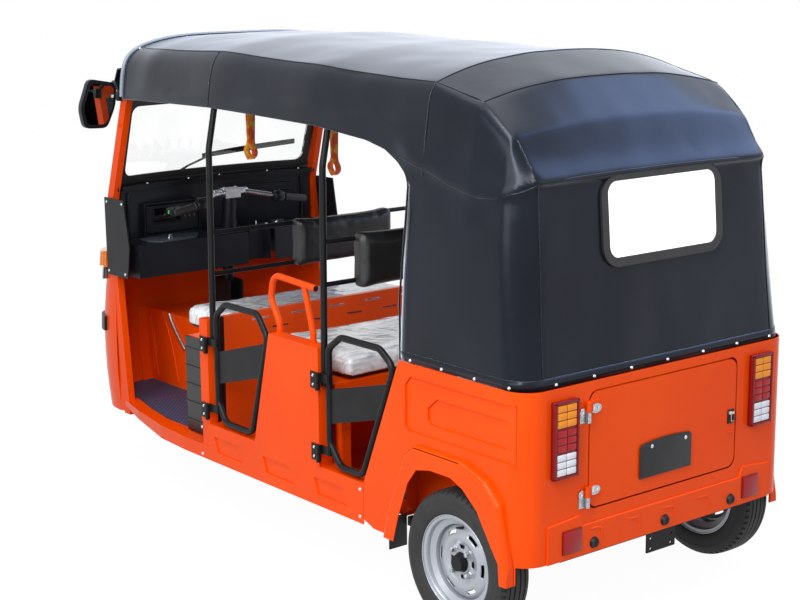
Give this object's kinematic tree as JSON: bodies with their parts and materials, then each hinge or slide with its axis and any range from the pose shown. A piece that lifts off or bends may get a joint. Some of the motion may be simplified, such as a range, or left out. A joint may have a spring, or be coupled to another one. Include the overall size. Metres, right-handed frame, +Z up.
{
  "type": "auto rickshaw",
  "caption": "Three-wheeled passenger auto rickshaw with an open tubular roof frame, fabric canopy, bench seats, low side gates, a rear trunk door and handlebar steering.",
  "frame": {"origin": "centre of the footprint on the ground", "axes": "+Z up, the vehicle faces -Y, its left side is +X"},
  "size_m": [1.352, 3.0437, 1.9259],
  "materials": {
    "orange_paint": "glossy orange paint",
    "black_steel": "satin black paint",
    "plated_steel": "zinc plated steel",
    "black_plastic": "moulded, fine grain",
    "mat_rubber": "textured mat",
    "seal_rubber": "smooth rubber",
    "black_vinyl": "grained vinyl",
    "canopy_cloth": "coated canvas",
    "red_lamp": "moulded lens",
    "clear_lamp": "clear lens",
    "clear_glass": "clear pane",
    "cast_engine": "cast",
    "tyre_rubber": "tyre rubber",
    "silver_rim": "silver enamel"
  },
  "bodies": {
    "chassis": {"rear_axle": "black_steel", "leaf_springs": "black_steel", "chassis_frame": "black_steel", "floor_pan": "orange_paint", "floor_mats": "mat_rubber", "side_sills": "orange_paint", "side_panels": "orange_paint", "driver_seat_box": "orange_paint", "seat_cushions": "black_vinyl", "seat_backrests": "black_vinyl", "middle_seat_box": "orange_paint", "rear_tub": "orange_paint", "tub_inner": "orange_paint", "engine_block": "cast_engine", "trunk_hinges": "plated_steel", "tail_lamps": "red_lamp", "rear_plugs": "black_plastic", "mud_flaps": "seal_rubber", "front_cowl": "orange_paint", "wheel_well": "orange_paint", "front_pillars": "orange_paint", "window_seals": "seal_rubber", "window_glass": "clear_glass", "windscreen_wiper": "black_plastic", "roof_visor": "black_plastic", "front_strip": "black_plastic", "dashboard": "black_plastic", "dash_cheeks": "black_plastic", "instrument_panel": "black_plastic", "front_lamps": "clear_lamp", "steering_head": "black_steel", "gate_hinges": "black_steel", "canopy": "canopy_cloth", "roof_frame": "black_steel", "grab_handles": "orange_paint", "mirrors": "black_plastic"},
    "steering": {"front_fork": "black_steel", "handlebar": "plated_steel", "front_fender": "black_plastic"},
    "wheel_front": {"tyre_front": "tyre_rubber", "rim_front": "silver_rim", "hub_front": "black_steel"},
    "wheel_rear_left": {"tyre_rear_left": "tyre_rubber", "rim_rear_left": "silver_rim", "hub_rear_left": "black_steel"},
    "wheel_rear_right": {"tyre_rear_right": "tyre_rubber", "rim_rear_right": "silver_rim", "hub_rear_right": "black_steel"},
    "gate_front_left": {"gate_front_left": "black_steel"},
    "gate_rear_left": {"gate_rear_left": "black_steel"},
    "gate_front_right": {"gate_front_right": "black_steel"},
    "gate_rear_right": {"gate_rear_right": "black_steel"},
    "trunk_door": {"trunk_door": "orange_paint", "trunk_latch": "black_plastic", "number_plate": "black_plastic"}
  },
  "joints": [
    {"name": "steering_turn", "type": "hinge", "parent": "chassis", "child": "steering", "pos_m": [0, -1.2135, 0.25], "axis": [0, 0.0995, 0.995], "range_deg": [-28, 28]},
    {"name": "front_wheel_spin", "type": "hinge", "parent": "steering", "child": "wheel_front", "pos_m": [0, -1.1735, 0.25], "axis": [1, 0, 0], "continuous": true},
    {"name": "rear_left_wheel_spin", "type": "hinge", "parent": "chassis", "child": "wheel_rear_left", "pos_m": [0.602, 1.1765, 0.25], "axis": [1, 0, 0], "continuous": true},
    {"name": "rear_right_wheel_spin", "type": "hinge", "parent": "chassis", "child": "wheel_rear_right", "pos_m": [-0.602, 1.1765, 0.25], "axis": [1, 0, 0], "continuous": true},
    {"name": "front_left_gate_swing", "type": "hinge", "parent": "chassis", "child": "gate_front_left", "pos_m": [0.66, -0.3205, 0.6], "axis": [0, 0, -1], "range_deg": [0, 100]},
    {"name": "rear_left_gate_swing", "type": "hinge", "parent": "chassis", "child": "gate_rear_left", "pos_m": [0.66, 0.4255, 0.6], "axis": [0, 0, -1], "range_deg": [0, 100]},
    {"name": "front_right_gate_swing", "type": "hinge", "parent": "chassis", "child": "gate_front_right", "pos_m": [-0.66, -0.3205, 0.6], "axis": [0, 0, 1], "range_deg": [0, 100]},
    {"name": "rear_right_gate_swing", "type": "hinge", "parent": "chassis", "child": "gate_rear_right", "pos_m": [-0.66, 0.4255, 0.6], "axis": [0, 0, 1], "range_deg": [0, 100]},
    {"name": "trunk_door_swing", "type": "hinge", "parent": "chassis", "child": "trunk_door", "pos_m": [0.376, 1.5085, 0.65], "axis": [0, 0, -1], "range_deg": [0, 110]}
  ]
}
